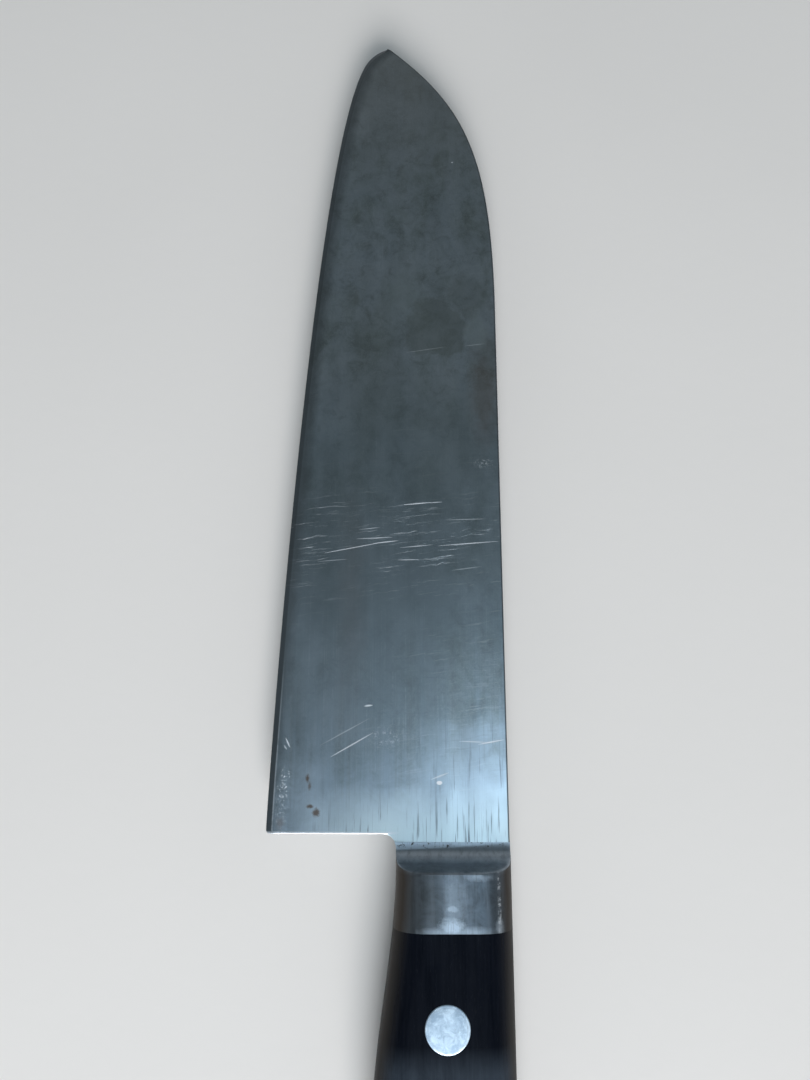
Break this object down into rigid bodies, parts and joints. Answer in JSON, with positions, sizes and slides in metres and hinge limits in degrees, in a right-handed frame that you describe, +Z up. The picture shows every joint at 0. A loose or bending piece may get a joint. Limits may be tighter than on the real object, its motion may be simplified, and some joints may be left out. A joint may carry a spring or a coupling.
{
  "type": "chef knife",
  "caption": "Kitchen knife with a straight-backed blade, an upright heel, a full tang, a welded steel bolster and a black riveted handle.",
  "frame": {"origin": "on the table, under the middle of the whole knife", "axes": "+X along the knife to the tip of the blade, +Y from the spine to the cutting edge, +Z up, out of the left cheek"},
  "size_m": [0.3, 0.0465, 0.0155],
  "materials": {
    "blade_steel": "lengthwise polished steel, greyed and scratched by use",
    "bolster_steel": "lengthwise brushed steel, worn",
    "handle_black": "black resin-bonded wood laminate, satin",
    "rivet_metal": "ground flush, fine matt scratches"
  },
  "bodies": {
    "root": {"blade": "blade_steel", "bolster_left": "bolster_steel", "bolster_right": "bolster_steel", "scale_left": "handle_black", "scale_right": "handle_black", "rivet_front_tube": "rivet_metal", "rivet_middle_tube": "rivet_metal", "rivet_rear_tube": "rivet_metal", "rivet_front_pin": "rivet_metal", "rivet_middle_pin": "rivet_metal", "rivet_rear_pin": "rivet_metal"}
  },
  "joints": []
}
